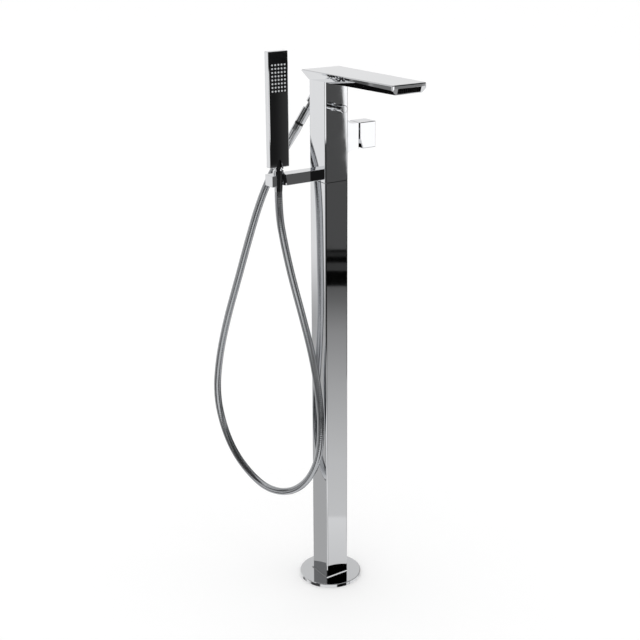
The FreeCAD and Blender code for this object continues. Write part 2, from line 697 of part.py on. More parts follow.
# ---------------------------------------------------------------- cartridge and lever

cartridge_base = "cartridge_floor + port_seal"
cartridge_end = "cartridge_floor + port_seal + cartridge_length"

port_seals = []
for across, up in (("0", "-port_circle"), ("0", "port_circle"), ("port_circle", "0")):
    seal = doc.addObject("Part::Cylinder", "port_seal_ring")
    seal.setExpression("Radius", formula("port + 1"))
    seal.setExpression("Height", formula("port_seal"))
    hole = doc.addObject("Part::Cylinder", "port_seal_hole")
    hole.setExpression("Radius", formula("port"))
    hole.setExpression("Height", formula("port_seal"))
    for ring in (seal, hole):
        place(ring, "cartridge_floor", across, "lever_height + (%s)" % up, ROUND_X)
    ring = doc.addObject("Part::Cut", "port_seal_washer")
    ring.Base = seal
    ring.Tool = hole
    port_seals.append(ring)
cartridge_seals = doc.addObject("Part::Compound", "cartridge_seals")
cartridge_seals.Links = port_seals
cartridge_seals.Label = "cartridge_seals"
parts.append(cartridge_seals)

cartridge = new_body("cartridge")
spin(cartridge, [
    ("0", cartridge_base),
    ("cartridge_radius", cartridge_base),
    ("cartridge_radius", cartridge_end),
    ("carrier_recess", cartridge_end),
    ("carrier_recess", cartridge_end + " - carrier_length - 0.5"),
    ("0", cartridge_end + " - carrier_length - 0.5"),
])
place(cartridge, height="lever_height", turn=ROUND_X)
for across, up in (("port_circle", "0"), ("-port_circle", "0"), ("0", "port_circle")):
    bore(cartridge, "XY_Plane", cartridge_base, across, up, "port",
         "cartridge_length / 2", back=True)

cartridge_nut = new_body("cartridge_nut")
spin(cartridge_nut, tube_profile("carrier_recess - 0.6", "cartridge_radius", cartridge_end,
                                 cartridge_end + " + nut_length"))
place(cartridge_nut, height="lever_height", turn=ROUND_X)

# The carrier turns for temperature; its slot lets the stem tilt for flow.
lever_carrier = new_body("lever_carrier")
spin(lever_carrier, [
    ("0", cartridge_end + " - carrier_length"),
    ("carrier_radius", cartridge_end + " - carrier_length"),
    ("carrier_radius", cartridge_end),
    ("0", cartridge_end),
])
place(lever_carrier, height="lever_height", turn=ROUND_X)
sketch = new_sketch(lever_carrier, "XY_Plane", cartridge_end)
rectangle(sketch, "-stem_side / 2 - 2", "stem_side / 2 + 2",
          "-stem_side / 2 - fit_gap", "stem_side / 2 + fit_gap")
cut(lever_carrier, sketch, "carrier_length")
bore(lever_carrier, "XZ_Plane", "carrier_radius", "0", "pivot_reach", "pivot_radius + fit_gap / 2",
     "2 * carrier_radius")

stem_pivot = new_body("stem_pivot")
spin(stem_pivot, tube_profile("0", "pivot_radius", "-carrier_radius + 0.6", "carrier_radius - 0.6"))
place(stem_pivot, "pivot_reach", "0", "lever_height", ROUND_FRONT)

handle_inner = "boss_reach + handle_gap"
handle_outer = "boss_reach + handle_gap + handle_length"
stem_start = "pivot_reach - 2 * pivot_radius"

lever_stem = new_body("lever_stem")
sketch = new_sketch(lever_stem, "YZ_Plane", stem_start)
rectangle(sketch, "-stem_side / 2", "stem_side / 2",
          "lever_height - stem_side / 2", "lever_height + stem_side / 2")
pad(lever_stem, sketch, "%s + stem_grip - (%s)" % (handle_inner, stem_start))
bore(lever_stem, "XZ_Plane", "stem_side", "pivot_reach", "lever_height",
     "pivot_radius + fit_gap", "2 * stem_side")

lever_handle = new_body("lever_handle")
sketch = new_sketch(lever_handle, "XZ_Plane")
outline(sketch, [
    (handle_inner + " + handle_relief", boss_low),
    (handle_outer, boss_low),
    (handle_outer, boss_high),
    (handle_inner, boss_high),
    (handle_inner, boss_low + " + handle_relief_height"),
])
pad(lever_handle, sketch, "boss_depth", both=True)
soften(lever_handle, "Fillet", "handle_edge", lambda edge: True)
sketch = new_sketch(lever_handle, "YZ_Plane", handle_inner)
rectangle(sketch, "-stem_side / 2 - fit_gap", "stem_side / 2 + fit_gap",
          "lever_height - stem_side / 2 - fit_gap", "lever_height + stem_side / 2 + fit_gap")
cut(lever_handle, sketch, "stem_grip + fit_gap", back=True)
handle_grub_reach = handle_inner + " + stem_grip / 2 + handle_grub"
bore(lever_handle, "XY_Plane", boss_low, handle_grub_reach, "0", "handle_grub + fit_gap",
     "boss_height / 2 - stem_side / 2", back=True)

handle_screw = new_body("handle_screw")
spin(handle_screw, tube_profile("0", "handle_grub", "lever_height - stem_side / 2 - 8",
                                "lever_height - stem_side / 2"))
place(handle_screw, handle_grub_reach)

# ---------------------------------------------------------------- diverter
# Heights in these profiles run to the front, from the column's axis.

diverter_sleeve = new_body("diverter_sleeve")
spin(diverter_sleeve, tube_profile("spindle_radius + fit_gap", "diverter_bore - fit_gap",
                                   "column_side / 2 - diverter_sleeve", "column_side / 2"))
place(diverter_sleeve, height="diverter_height", turn=ROUND_FRONT)

groove = "column_side / 2 - diverter_sleeve / 2"
diverter_spindle = new_body("diverter_spindle")
spin(diverter_spindle, [
    ("0", "-diverter_seat + 1"),
    ("spindle_radius", "-diverter_seat + 1"),
    ("spindle_radius", groove + " - 1"),
    ("spindle_radius - 1", groove + " - 1"),
    ("spindle_radius - 1", groove + " + 1"),
    ("spindle_radius", groove + " + 1"),
    ("spindle_radius", "column_side / 2 + knob_length - 6"),
    ("0", "column_side / 2 + knob_length - 6"),
])
place(diverter_spindle, height="diverter_height", turn=ROUND_FRONT)

spindle_seal = new_body("spindle_seal")
spin(spindle_seal, tube_profile("spindle_radius - 1 + fit_gap", "spindle_radius",
                                groove + " - 0.9", groove + " + 0.9"))
place(spindle_seal, height="diverter_height", turn=ROUND_FRONT)

diverter_disc = new_body("diverter_disc")
spin(diverter_disc, tube_profile("spindle_radius + fit_gap", "diverter_bore - 0.4",
                                 "-diverter_seat + 0.3", "-diverter_seat + 4"))
place(diverter_disc, height="diverter_height", turn=ROUND_FRONT)

diverter_knob = new_body("diverter_knob")
spin(diverter_knob, [
    ("spindle_radius + fit_gap", "column_side / 2 + 0.5"),
    ("knob_neck", "column_side / 2 + 0.5"),
    ("knob_neck", "column_side / 2 + knob_neck_length"),
    ("knob_radius", "column_side / 2 + knob_neck_length + 2"),
    ("knob_radius", "column_side / 2 + knob_length - 1"),
    ("knob_radius - 1", "column_side / 2 + knob_length", "1", 1),
    ("0", "column_side / 2 + knob_length"),
    ("0", "column_side / 2 + knob_length - 6"),
    ("spindle_radius + fit_gap", "column_side / 2 + knob_length - 6"),
])
place(diverter_knob, height="diverter_height", turn=ROUND_FRONT)

# ---------------------------------------------------------------- hose outlet
# The leg's pieces are turned about a vertical axis and lean with the elbow, to
# the left and back.

outlet_swing = math.radians(size("outlet_swing"))
lean_across, lean_depth = math.sin(outlet_swing), math.cos(outlet_swing)


def lean(piece):
    """Hang a piece of the leg below the elbow's centre."""
    axis = FreeCAD.Vector(lean_across, lean_depth, 0)
    place(piece, "0", "outlet_reach", "outlet_height", (axis, 1.0), "outlet_lean")


def lean_sketch(sketch, axis):
    """Turn a sketch of the elbow into its leg's direction."""
    sketch.AttachmentOffset = FreeCAD.Placement(FreeCAD.Vector(), FreeCAD.Rotation(axis, 1.0))
    sketch.setExpression("AttachmentOffset.Rotation.Angle", formula("outlet_lean"))


leg_end = "-elbow_leg"
nipple_end = "-elbow_leg - nipple_length"
valve_end = nipple_end + " - valve_length"
collar_end = valve_end + " - collar_length"
hose_start = collar_end + " - hose_nut_length"

outlet_spigot = new_body("outlet_spigot")
spin(outlet_spigot, [
    ("gallery - 0.5", "-column_side / 2 + 8"),
    ("riser_radius", "-column_side / 2 + 8"),
    ("riser_radius", "-column_side / 2"),
    ("elbow_radius + 2.5", "-column_side / 2"),
    ("elbow_radius + 2.5", "-column_side / 2 - 2.5"),
    ("elbow_radius - 1.5", "-column_side / 2 - 3.5"),
    ("elbow_radius - 1.5", "-outlet_reach + elbow_flat"),
    ("gallery - 0.5", "-outlet_reach + elbow_flat"),
])
place(outlet_spigot, height="outlet_height", turn=ROUND_FRONT)

outlet_elbow = new_body("outlet_elbow")
sketch = new_sketch(outlet_elbow, "XZ_Plane")
lean_sketch(sketch, FreeCAD.Vector(lean_across, 0, -lean_depth))
spin(outlet_elbow, [
    ("0", nipple_end + " - 8"),
    ("nipple_radius", nipple_end + " - 8"),
    ("nipple_radius", leg_end),
    ("elbow_radius", leg_end),
    ("elbow_radius", "0"),
    ("0", "elbow_radius", "elbow_radius", 1),
], sketch)
place(outlet_elbow, "0", "outlet_reach", "outlet_height")
bore(outlet_elbow, "XZ_Plane", "elbow_radius", "0", "0", "elbow_radius - 1.5 + fit_gap",
     "elbow_radius - elbow_flat")
bore(outlet_elbow, "XZ_Plane", "elbow_radius", "0", "0", "gallery - 0.5", "elbow_radius")
sketch = new_sketch(outlet_elbow, "XY_Plane")
lean_sketch(sketch, FreeCAD.Vector(lean_across, lean_depth, 0))
circle(sketch, "0", "0", "gallery - 0.5")
cut(outlet_elbow, sketch, "elbow_leg + nipple_length + 8")

outlet_check_valve = new_body("outlet_check_valve")
spin(outlet_check_valve, [
    ("nipple_radius + fit_gap", nipple_end),
    ("nipple_radius + fit_gap", nipple_end + " - 8"),
    ("gallery + 0.5", nipple_end + " - 8"),
    ("gallery + 0.5", valve_end + " - 6"),
    ("nipple_radius + 1", valve_end + " - 6"),
    ("nipple_radius + 1", valve_end),
    ("valve_radius", valve_end),
    ("valve_radius", nipple_end + " - 1"),
    ("valve_radius - 1", nipple_end, "1", 1),
])
lean(outlet_check_valve)

outlet_washer = new_body("outlet_washer")
spin(outlet_washer, tube_profile("nipple_radius + 1 + fit_gap", "valve_radius - 0.5", collar_end,
                                 valve_end))
lean(outlet_washer)

outlet_hose_nut = new_body("outlet_hose_nut")
spin(outlet_hose_nut, [
    ("gallery", hose_start),
    ("hose_diameter / 2 + 0.3", hose_start),
    ("valve_radius", collar_end + " - 12"),
    ("valve_radius", collar_end),
    ("nipple_radius + 1 + fit_gap", collar_end),
    ("nipple_radius + 1 + fit_gap", collar_end + " - 6"),
    ("gallery", collar_end + " - 6"),
])
lean(outlet_hose_nut)

# ---------------------------------------------------------------- holder arm

cone_top = "cone_bottom + cone_height"
slope = "(cone_large - cone_small) / cone_height"


def cone_radius(height):
    return "cone_small + (%s - cone_bottom) * %s" % (height, slope)


def on_holder(piece):
    """Centre a piece on the hand shower's axis."""
    place(piece, "-holder_reach", "holder_depth")


# The fork's throat lets the hose through, and its seat is a cone a little wider
# than the nut that rests in it. The sketches are centred on that nut's axis.
arm_top = "joint_height + arm_height"
holder_arm = new_body("holder_arm")
on_holder(holder_arm)
sketch = new_sketch(holder_arm, "XY_Plane", "joint_height")
rectangle(sketch, "holder_reach - arm_reach", "holder_reach - column_side / 2",
          "-holder_depth", "arm_depth - holder_depth")
pad(holder_arm, sketch, "arm_height")
soften(holder_arm, "Fillet", "arm_edge",
       lambda edge: along(edge, 0) or near(middle(edge).x, "-arm_reach"))
sketch = new_sketch(holder_arm, "XY_Plane", arm_top)
outline(sketch, [
    ("-fork_mouth / 2", "-holder_depth - 1"),
    ("fork_mouth / 2", "-holder_depth - 1"),
    ("fork_mouth / 2", "-holder_depth + 0.5"),
    ("fork_throat / 2", "-holder_depth + fork_throat_depth"),
    ("fork_throat / 2", "0"),
    ("-fork_throat / 2", "0"),
    ("-fork_throat / 2", "-holder_depth + fork_throat_depth"),
    ("-fork_mouth / 2", "-holder_depth + 0.5"),
])
cut(holder_arm, sketch, "arm_height")
hollow(holder_arm, [
    ("0", "joint_height - 1"),
    (cone_radius("joint_height - 1") + " + seat_gap", "joint_height - 1"),
    (cone_radius(arm_top + " + 1") + " + seat_gap", arm_top + " + 1"),
    ("0", arm_top + " + 1"),
])
arm_fixings = (
    ("arm_fixing_stud", "arm_stud", "9", "12", "arm_depth / 2"),
    ("arm_locating_pin", "arm_pin", "5", "6", "arm_depth - 2 * arm_stud + 2 * arm_pin"),
)
for label, radius, inner, outer, across in arm_fixings:
    bore(holder_arm, "YZ_Plane", "holder_reach - column_side / 2", across + " - holder_depth",
         arm_axis, radius + " + fit_gap", outer + " + 1")

for label, radius, inner, outer, across in arm_fixings:
    piece = new_body(label)
    spin(piece, tube_profile("0", radius, "-column_side / 2 - " + outer, "-column_side / 2 + " + inner))
    place(piece, "0", across, arm_axis, ROUND_X)

# ---------------------------------------------------------------- hose end and hand shower


hose_cone_nut = new_body("hose_cone_nut")
spin(hose_cone_nut, [
    ("gallery", "cone_bottom"),
    ("cone_small", "cone_bottom"),
    ("cone_large", cone_top),
    ("swivel_radius + fit_gap", cone_top),
    ("swivel_radius + fit_gap", cone_top + " - 17"),
    ("gallery", cone_top + " - 17"),
])
on_holder(hose_cone_nut)

hose_washer = new_body("hose_washer")
spin(hose_washer, tube_profile("gallery", "swivel_radius - 0.2", cone_top + " - 17",
                               cone_top + " - 15.2"))
on_holder(hose_washer)

handset_stem = new_body("handset_stem")
spin(handset_stem, [
    ("gallery - 1", cone_top + " - 15"),
    ("swivel_radius", cone_top + " - 15"),
    ("swivel_radius", cone_top + " + 0.4"),
    ("swivel_radius + 1.2", cone_top + " + 0.4"),
    ("swivel_radius + 1.2", "stick_bottom - 2.5"),
    ("stick_bore", "stick_bottom - 2.5"),
    ("stick_bore", "stick_bottom + 10"),
    ("gallery - 1", "stick_bottom + 10"),
])
on_holder(handset_stem)

stick_top = "stick_bottom + stick_length"
spray_top = stick_top + " - spray_margin"
spray_bottom = spray_top + " - spray_height"
handset_body = new_body("handset_body")
sketch = new_sketch(handset_body, "XY_Plane", "stick_bottom")
rectangle(sketch, "-stick_width / 2", "stick_width / 2", "-stick_depth / 2", "stick_depth / 2")
pad(handset_body, sketch, "stick_length")
soften(handset_body, "Fillet", "stick_edge", lambda edge: True)
sketch = new_sketch(handset_body, "XZ_Plane")
outline(sketch, [
    ("0", "stick_bottom - 2.4"),
    ("stick_boss", "stick_bottom - 2.4"),
    ("stick_boss", "stick_bottom"),
    ("stick_depth / 2 - 0.5", "stick_bottom + stick_boss_height"),
    ("0", "stick_bottom + stick_boss_height"),
])
boss = handset_body.newObject("PartDesign::Revolution", "handset_body_boss")
boss.Profile = sketch
boss.ReferenceAxis = (sketch, ["V_Axis"])
doc.recompute()
bore(handset_body, "XY_Plane", "stick_bottom - 2.4", "0", "0", "stick_bore + fit_gap",
     "16", back=True)
bore(handset_body, "XY_Plane", "stick_bottom", "0", "0", "gallery",
     spray_bottom + " - stick_bottom + 6", back=True)
on_holder(handset_body)
for margin, depth in (("fit_gap", "spray_thickness + mat_thickness"),
                      ("-2.5", "spray_thickness + mat_thickness + 4.5")):
    sketch = new_sketch(handset_body, "XZ_Plane", "stick_depth / 2")
    rectangle(sketch, "-spray_width / 2 - (%s)" % margin, "spray_width / 2 + %s" % margin,
              "%s - (%s)" % (spray_bottom, margin), "%s + %s" % (spray_top, margin))
    cut(handset_body, sketch, depth)


def nozzles(sketch, radius):
    """Circles at the places of all nozzles."""
    for column in range(NOZZLE_COLUMNS):
        for line in range(NOZZLE_ROWS):
            circle(sketch, "nozzle_pitch * %s" % (column - (NOZZLE_COLUMNS - 1) / 2),
                   "%s - nozzle_top - nozzle_pitch * %d" % (stick_top, line), radius)


spray_plate = new_body("spray_plate")
sketch = new_sketch(spray_plate, "XZ_Plane", "stick_depth / 2")
rectangle(sketch, "-spray_width / 2", "spray_width / 2", spray_bottom, spray_top)
nozzles(sketch, "nozzle_radius + fit_gap")
pad(spray_plate, sketch, "spray_thickness", back=True)
on_holder(spray_plate)

nozzle_mat = new_body("nozzle_mat")
sketch = new_sketch(nozzle_mat, "XZ_Plane", "stick_depth / 2 - spray_thickness")
rectangle(sketch, "-spray_width / 2", "spray_width / 2", spray_bottom, spray_top)
pad(nozzle_mat, sketch, "mat_thickness", back=True)
sketch = new_sketch(nozzle_mat, "XZ_Plane", "stick_depth / 2 - spray_thickness")
nozzles(sketch, "nozzle_radius")
pad(nozzle_mat, sketch, "spray_thickness + nozzle_proud")
on_holder(nozzle_mat)

# ---------------------------------------------------------------- hose


def hose_route():
    """Points of the hose's route, with the straight ends that the nuts give."""
    lean_turn = FreeCAD.Rotation(FreeCAD.Vector(lean_across, lean_depth, 0), size("outlet_lean"))
    down = lean_turn.multVec(FreeCAD.Vector(0, 0, -1))
    elbow = FreeCAD.Vector(0, size("outlet_reach"), size("outlet_height"))
    start = elbow - down * size(hose_start)
    end = FreeCAD.Vector(-size("holder_reach"), size("holder_depth"), size("cone_bottom"))
    free = [FreeCAD.Vector(*point) for point in HOSE_POINTS]
    return [start, start + down * HOSE_EXIT_RUN] + free + [end - FreeCAD.Vector(0, 0, HOSE_ENTRY_RUN), end]


def rounded(points):
    """Straight runs joined by tangent arcs; prints the arcs' radii."""
    edges = []
    radii = []
    at = points[0]
    for before, corner, after in zip(points, points[1:], points[2:]):
        come, leave = corner - before, after - corner
        turn = come.getAngle(leave)
        trim = HOSE_BEND_SHARE * min(come.Length, leave.Length)
        radii.append(trim / math.tan(turn / 2))
        come.normalize()
        leave.normalize()
        first, last = corner - come * trim, corner + leave * trim
        middle_way = (leave - come).normalize()
        depth = radii[-1] / math.cos(turn / 2) - radii[-1]
        edges.append(Part.LineSegment(at, first).toShape())
        edges.append(Part.Arc(first, corner + middle_way * depth, last).toShape())
        at = last
    edges.append(Part.LineSegment(at, points[-1]).toShape())
    print("hose bend radii", [round(radius) for radius in radii])
    return Part.Wire(edges)


path = rounded(hose_route())
start_edge = path.Edges[0]
section = Part.Wire(Part.Circle(start_edge.valueAt(start_edge.FirstParameter),
                                start_edge.tangentAt(start_edge.FirstParameter),
                                size("hose_diameter / 2")).toShape())
shower_hose = doc.addObject("Part::Feature", "shower_hose")
shower_hose.Shape = path.makePipeShell([section], True, True)
shower_hose.Label = "shower_hose"
shower_hose.Placement = FreeCAD.Placement()
parts.append(shower_hose)
expected = math.pi * size("hose_diameter / 2") ** 2 * path.Length
print("hose length %.0f, volume %.0f of %.0f" % (path.Length, shower_hose.Shape.Volume, expected))

# ---------------------------------------------------------------- checks and export

doc.recompute()
for thing in doc.Objects:
    if {"Invalid", "Error"} & set(thing.State):
        raise ValueError("%s is %s" % (thing.Label, thing.State))
os.makedirs("parts", exist_ok=True)
for piece in parts:
    if piece.Shape.isNull() or not piece.Shape.isValid():
        raise ValueError(piece.Label + " has no valid shape")
for piece in parts:
    piece.Shape.exportStep("parts/%s.step" % piece.Label)
    print("%-20s solids %d volume %10.1f" % (piece.Label, len(piece.Shape.Solids), piece.Shape.Volume))
print(len(parts), "pieces")
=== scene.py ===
import json
import math

import bpy
from mathutils import Matrix, Vector


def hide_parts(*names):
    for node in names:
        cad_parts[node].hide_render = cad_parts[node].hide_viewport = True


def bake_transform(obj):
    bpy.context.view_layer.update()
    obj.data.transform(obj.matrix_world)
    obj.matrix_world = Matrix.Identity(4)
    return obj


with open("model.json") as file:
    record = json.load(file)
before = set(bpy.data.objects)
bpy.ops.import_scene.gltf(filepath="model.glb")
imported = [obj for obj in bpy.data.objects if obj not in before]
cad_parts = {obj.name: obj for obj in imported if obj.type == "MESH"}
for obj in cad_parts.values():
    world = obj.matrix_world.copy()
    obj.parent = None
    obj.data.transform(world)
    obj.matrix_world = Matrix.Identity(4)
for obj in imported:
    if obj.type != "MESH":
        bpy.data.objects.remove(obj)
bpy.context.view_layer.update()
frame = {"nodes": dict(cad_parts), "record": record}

# Where the photograph was taken from, and how it was aimed, in metres.
CAMERA_PLACE = Vector((-1.2060, -1.7570, 1.2871))
CAMERA_RIGHT = Vector((0.82798603, -0.56071686, -0.00597828))
CAMERA_UP = Vector((0.18927398, 0.26942528, 0.94423799))
CAMERA_LENS_MM = 67.085
CAMERA_SENSOR_MM = 36.0

# The hose's route, from its nut at the outlet to its nut in the fork.
HOSE_DIAMETER = 0.014
HOSE_ROUTE = [
    (-0.0487, 0.0648, 0.8717),
    (-0.0733, 0.0773, 0.8241),
    (-0.0910, 0.0950, 0.7660),
    (-0.1055, 0.1125, 0.6950),
    (-0.1200, 0.1330, 0.6120),
    (-0.1355, 0.1545, 0.5270),
    (-0.1450, 0.1735, 0.4430),
    (-0.1470, 0.1845, 0.3660),
    (-0.1375, 0.1805, 0.2970),
    (-0.1250, 0.1620, 0.2415),
    (-0.1085, 0.1280, 0.2005),
    (-0.0935, 0.0860, 0.1795),
    (-0.0745, 0.0410, 0.1835),
    (-0.0545, 0.0045, 0.2130),
    (-0.0395, -0.0170, 0.2640),
    (-0.0330, -0.0205, 0.3305),
    (-0.0340, -0.0130, 0.4075),
    (-0.0430, -0.0035, 0.4880),
    (-0.0590, 0.0050, 0.5660),
    (-0.0770, 0.0095, 0.6395),
    (-0.0915, 0.0110, 0.7055),
    (-0.1010, 0.0120, 0.7620),
    (-0.1010, 0.0120, 0.8040),
]

# Share of the light that the chrome plate sends back; the tones of the studio are
# what the chrome shows, so the studio is brighter by this much.
CHROME_REFLECTANCE = 0.80

FLOOR_SIZE = 60.0
# Light that the floor adds for the camera alone, so that it is as white as the backdrop.
FLOOR_LIFT = 0.05


def linear(hex_colour):
    """An sRGB hex colour as the linear colour that a shader takes."""
    channels = [int(hex_colour[i:i + 2], 16) / 255 for i in (1, 3, 5)]
    return [c / 12.92 if c <= 0.04045 else ((c + 0.055) / 1.055) ** 2.4 for c in channels] + [1.0]


def per_metre(millimetres):
    """The scale of a pattern whose features are this long."""
    return 1000 / millimetres


def add_node(tree, kind, settings=None, inputs=None, links=None):
    """Add a node with its settings, its input values and the links into it."""
    node = tree.nodes.new(kind)
    for name, value in (settings or {}).items():
        setattr(node, name, value)
    for name, value in (inputs or {}).items():
        node.inputs[name].default_value = value
    for name, output in (links or {}).items():
        tree.links.new(output, node.inputs[name])
    return node


def new_material(name, hex_colour, metallic, roughness):
    """A material with its tree, its shader and the object's own coordinates."""
    material = bpy.data.materials.new(name)
    material.use_nodes = True
    tree = material.node_tree
    shader = tree.nodes["Principled BSDF"]
    shader.inputs["Base Color"].default_value = linear(hex_colour)
    shader.inputs["Metallic"].default_value = metallic
    shader.inputs["Roughness"].default_value = roughness
    place = add_node(tree, "ShaderNodeTexCoord").outputs["Object"]
    return material, tree, shader, place


def only(thing):
    """Select one object and nothing else, and make it the active one."""
    bpy.ops.object.select_all(action="DESELECT")
    thing.select_set(True)
    bpy.context.view_layer.objects.active = thing


# ---------------------------------------------------------------- camera

camera_data = bpy.data.cameras.new("photo_camera")
camera_data.lens = CAMERA_LENS_MM
camera_data.sensor_width = CAMERA_SENSOR_MM
camera = bpy.data.objects.new("photo_camera", camera_data)
bpy.context.collection.objects.link(camera)
turned = Matrix((CAMERA_RIGHT, CAMERA_UP, CAMERA_RIGHT.cross(CAMERA_UP))).transposed()
camera.matrix_world = Matrix.Translation(CAMERA_PLACE) @ turned.to_4x4()
bpy.context.scene.camera = camera

# ---------------------------------------------------------------- hose


def route_curve(name, points):
    """A smooth spline with the route's points as its control points."""
    curve = bpy.data.curves.new(name, "CURVE")
    curve.dimensions = "3D"
    spline = curve.splines.new("NURBS")
    spline.points.add(len(points) - 1)
    for point, place in zip(spline.points, points):
        point.co = (*place, 1.0)
    spline.order_u = 3
    spline.use_endpoint_u = True
    spline.resolution_u = 14
    line = bpy.data.objects.new(name, curve)
    bpy.context.collection.objects.link(line)
    return line


def mark_length(tube, path, sides):
    """Store how far along the hose each point lies, in metres."""
    run = [0.0]
    for start, end in zip(path, path[1:]):
        run.append(run[-1] + math.dist(start, end))
    along = tube.data.attributes.new("along", "FLOAT", "POINT")
    for index in range(len(tube.data.vertices)):
        along.data[index].value = run[min(index // sides, len(run) - 1)]


hose = route_curve("hose_cover", HOSE_ROUTE)
centreline = bpy.data.meshes.new_from_object(hose)
hose_path = [tuple(vertex.co) for vertex in centreline.vertices]
bpy.data.meshes.remove(centreline)
hose.data.bevel_depth = HOSE_DIAMETER / 2
hose.data.bevel_resolution = 8
hose.data.use_fill_caps = True
only(hose)
bpy.ops.object.convert(target="MESH")
bpy.ops.object.shade_smooth()
mark_length(hose, hose_path, len(hose.data.vertices) // len(hose_path))
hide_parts("shower_hose")
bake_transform(hose)

# ---------------------------------------------------------------- finishes


def polished_chrome_plate():
    # Bright chrome over buffed brass: a mirror, with faint clouds left by the
    # polishing wheel that dull it a little and hardly bend what it shows.
    material, tree, shader, place = new_material("polished_chrome_plate", "#e6e7e9", 1.0, 0.03)
    clouds = add_node(tree, "ShaderNodeTexNoise", inputs={"Scale": per_metre(18), "Detail": 4.0},
                      links={"Vector": place})
    dulling = add_node(tree, "ShaderNodeMapRange",
                       inputs={"From Min": 0.3, "From Max": 0.75, "To Min": 0.015, "To Max": 0.03},
                       links={"Value": clouds.outputs["Fac"]})
    waves = add_node(tree, "ShaderNodeTexNoise", inputs={"Scale": per_metre(30), "Detail": 0.0},
                     links={"Vector": place})
    relief = add_node(tree, "ShaderNodeBump", inputs={"Strength": 0.25, "Distance": 0.00001},
                      links={"Height": waves.outputs["Fac"]})
    tree.links.new(dulling.outputs["Result"], shader.inputs["Roughness"])
    tree.links.new(relief.outputs["Normal"], shader.inputs["Normal"])
    return material


def silver_hose_cover():
    # Metallised foil wound round the hose under a clear PVC skin: a soft satin
    # shine, with the foil's faint turns 4 mm apart along the hose.
    material, tree, shader, place = new_material("silver_foil_under_pvc", "#abadb0", 0.92, 0.13)
    along = add_node(tree, "ShaderNodeAttribute", {"attribute_name": "along"})
    turns = add_node(tree, "ShaderNodeMath", {"operation": "MULTIPLY"},
                     {1: 2 * math.pi * per_metre(4)}, {0: along.outputs["Fac"]})
    ridge = add_node(tree, "ShaderNodeMath", {"operation": "SINE"}, links={0: turns.outputs[0]})
    relief = add_node(tree, "ShaderNodeBump", inputs={"Strength": 0.3, "Distance": 0.00008},
                      links={"Height": ridge.outputs[0]})
    clouds = add_node(tree, "ShaderNodeTexNoise", inputs={"Scale": per_metre(9), "Detail": 3.0},
                      links={"Vector": place})
    dulling = add_node(tree, "ShaderNodeMapRange",
                       inputs={"From Min": 0.3, "From Max": 0.7, "To Min": 0.09, "To Max": 0.17},
                       links={"Value": clouds.outputs["Fac"]})
    shader.inputs["Coat Weight"].default_value = 0.4
    shader.inputs["Coat Roughness"].default_value = 0.12
    tree.links.new(dulling.outputs["Result"], shader.inputs["Roughness"])
    tree.links.new(relief.outputs["Normal"], shader.inputs["Normal"])
    return material


def moulded(name, hex_colour, roughness, spread, grain_mm, grain_height):
    """A moulded plastic or rubber: a fine spark-eroded grain over a soft sheen."""
    material, tree, shader, place = new_material(name, hex_colour, 0.0, roughness)
    grain = add_node(tree, "ShaderNodeTexNoise", inputs={"Scale": per_metre(grain_mm), "Detail": 2.0},
                     links={"Vector": place})
    sheen = add_node(tree, "ShaderNodeMapRange",
                     inputs={"From Min": 0.3, "From Max": 0.7,
                             "To Min": roughness - spread, "To Max": roughness + spread},
                     links={"Value": grain.outputs["Fac"]})
    relief = add_node(tree, "ShaderNodeBump", inputs={"Strength": 0.4, "Distance": grain_height},
                      links={"Height": grain.outputs["Fac"]})
    tree.links.new(sheen.outputs["Result"], shader.inputs["Roughness"])
    tree.links.new(relief.outputs["Normal"], shader.inputs["Normal"])
    return material


def machined(name, hex_colour, dull_hex, roughness, mark_mm):
    """A bare machined metal: fine tool marks across it and a slightly uneven tarnish."""
    material, tree, shader, place = new_material(name, hex_colour, 1.0, roughness)
    stretch = add_node(tree, "ShaderNodeMapping", inputs={"Scale": (0.08, 0.08, 1.0)},
                       links={"Vector": place})
    marks = add_node(tree, "ShaderNodeTexNoise", inputs={"Scale": per_metre(mark_mm), "Detail": 2.0},
                     links={"Vector": stretch.outputs["Vector"]})
    tarnish = add_node(tree, "ShaderNodeTexNoise", inputs={"Scale": per_metre(12), "Detail": 3.0},
                       links={"Vector": place})
    tone = add_node(tree, "ShaderNodeMix", {"data_type": "RGBA"},
                    {6: linear(hex_colour), 7: linear(dull_hex)}, {0: tarnish.outputs["Fac"]})
    sheen = add_node(tree, "ShaderNodeMapRange",
                     inputs={"From Min": 0.3, "From Max": 0.7,
                             "To Min": roughness - 0.07, "To Max": roughness + 0.07},
                     links={"Value": marks.outputs["Fac"]})
    relief = add_node(tree, "ShaderNodeBump", inputs={"Strength": 0.3, "Distance": 0.00002},
                      links={"Height": marks.outputs["Fac"]})
    tree.links.new(tone.outputs[2], shader.inputs["Base Color"])
    tree.links.new(sheen.outputs["Result"], shader.inputs["Roughness"])
    tree.links.new(relief.outputs["Normal"], shader.inputs["Normal"])
    return material


def white_floor_paint():
    # Matt white studio paint: it shows nothing but the soft shadow round the foot,
    # and away from it is as white as the backdrop to the camera.
    paint = moulded("matt_white_floor", "#fdfdfd", 0.9, 0.02, 2.0, 0.00001)
    tree = paint.node_tree
    rays = add_node(tree, "ShaderNodeLightPath").outputs
    lift = add_node(tree, "ShaderNodeMath", {"operation": "MULTIPLY"}, {1: FLOOR_LIFT},
                    {0: rays["Is Camera Ray"]})
    shader = tree.nodes["Principled BSDF"]
    shader.inputs["Emission Color"].default_value = linear("#ffffff")
    tree.links.new(lift.outputs[0], shader.inputs["Emission Strength"])
    return paint


